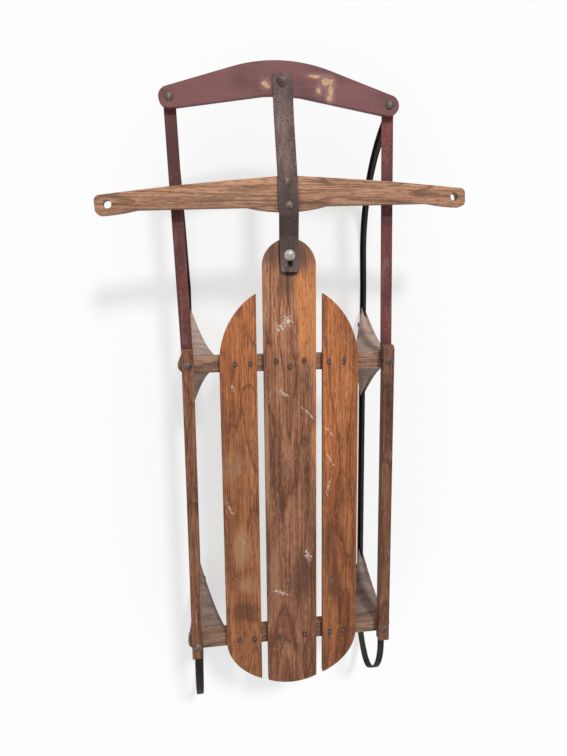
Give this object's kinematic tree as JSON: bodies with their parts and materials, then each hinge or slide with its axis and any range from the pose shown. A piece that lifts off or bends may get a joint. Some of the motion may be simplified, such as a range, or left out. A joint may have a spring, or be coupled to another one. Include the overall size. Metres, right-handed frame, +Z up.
{
  "type": "wooden sled",
  "caption": "Steerable wooden sled with a slatted deck, side rails, a pivoting steering bar and handle, a wooden bumper, pressed knees and steel runners.",
  "frame": {"origin": "on the ground, at the middle of the sled's bounding box", "axes": "+Z up, the front with the bumper towards -Y, the rider's left towards +X"},
  "size_m": [0.5961, 1.1278, 0.172],
  "materials": {
    "deck_wood": "worn varnish",
    "frame_wood": "weathered, bare",
    "handle_wood": "weathered, worn smooth",
    "bumper_paint": "faded maroon paint on wood, chipped",
    "strut_paint": "worn dark red paint",
    "bar_steel": "browned, worn bare",
    "knee_steel": "dull grey, stained",
    "runner_steel": "blackened",
    "fasteners": "dull, stained"
  },
  "bodies": {
    "frame": {"deck_slat_centre": "deck_wood", "deck_slat_left": "deck_wood", "deck_slat_right": "deck_wood", "front_crossbar": "frame_wood", "rear_crossbar": "frame_wood", "side_rail_left": "frame_wood", "side_rail_right": "frame_wood", "front_knee_left": "knee_steel", "front_knee_right": "knee_steel", "rear_knee_left": "knee_steel", "rear_knee_right": "knee_steel", "rail_bolts": "fasteners", "runner_left": "runner_steel", "runner_right": "runner_steel", "steering_pin": "fasteners"},
    "steering": {"steering_bar": "bar_steel", "steering_handle": "handle_wood", "handle_rivets": "fasteners"},
    "bumper_assembly": {"bumper": "bumper_paint", "bumper_bolt": "fasteners", "bumper_rivets": "fasteners"},
    "left_strut": {"strut_left": "strut_paint"},
    "right_strut": {"strut_right": "strut_paint"},
    "left_prow": {"runner_front_left": "runner_steel"},
    "right_prow": {"runner_front_right": "runner_steel"}
  },
  "joints": [
    {"name": "steer", "type": "hinge", "parent": "frame", "child": "steering", "pos_m": [0, -0.268, 0.156], "axis": [0, 0, 1], "range_deg": [-12, 8], "stiffness_Nm_per_rad": 20},
    {"name": "bumper_pivot", "type": "hinge", "parent": "steering", "child": "bumper_assembly", "pos_m": [0.00925, -0.53284, 0.156], "axis": [0, 0, 1], "range_deg": [-8.5, 12.5]},
    {"name": "strut_left_swing", "type": "hinge", "parent": "frame", "child": "left_strut", "pos_m": [0.17, -0.091, 0.1435], "axis": [0, 0, 1], "range_deg": [-8, 5.5]},
    {"name": "strut_right_swing", "type": "hinge", "parent": "frame", "child": "right_strut", "pos_m": [-0.17, -0.091, 0.1435], "axis": [0, 0, 1], "range_deg": [-8, 5.5]},
    {"name": "runner_left_flex", "type": "hinge", "parent": "frame", "child": "left_prow", "pos_m": [0.17, -0.218, 0.01], "axis": [0, 0, 1], "range_deg": [-11.5, 7.8]},
    {"name": "runner_right_flex", "type": "hinge", "parent": "frame", "child": "right_prow", "pos_m": [-0.17, -0.218, 0.01], "axis": [0, 0, 1], "range_deg": [-11.5, 7.8]}
  ],
  "couplings": [
    {"joint": "bumper_pivot", "follows": "steer", "ratio": -1},
    {"joint": "strut_left_swing", "follows": "steer", "ratio": 0.639},
    {"joint": "strut_right_swing", "follows": "steer", "ratio": 0.639},
    {"joint": "runner_left_flex", "follows": "steer", "ratio": 0.924},
    {"joint": "runner_right_flex", "follows": "steer", "ratio": 0.924}
  ]
}
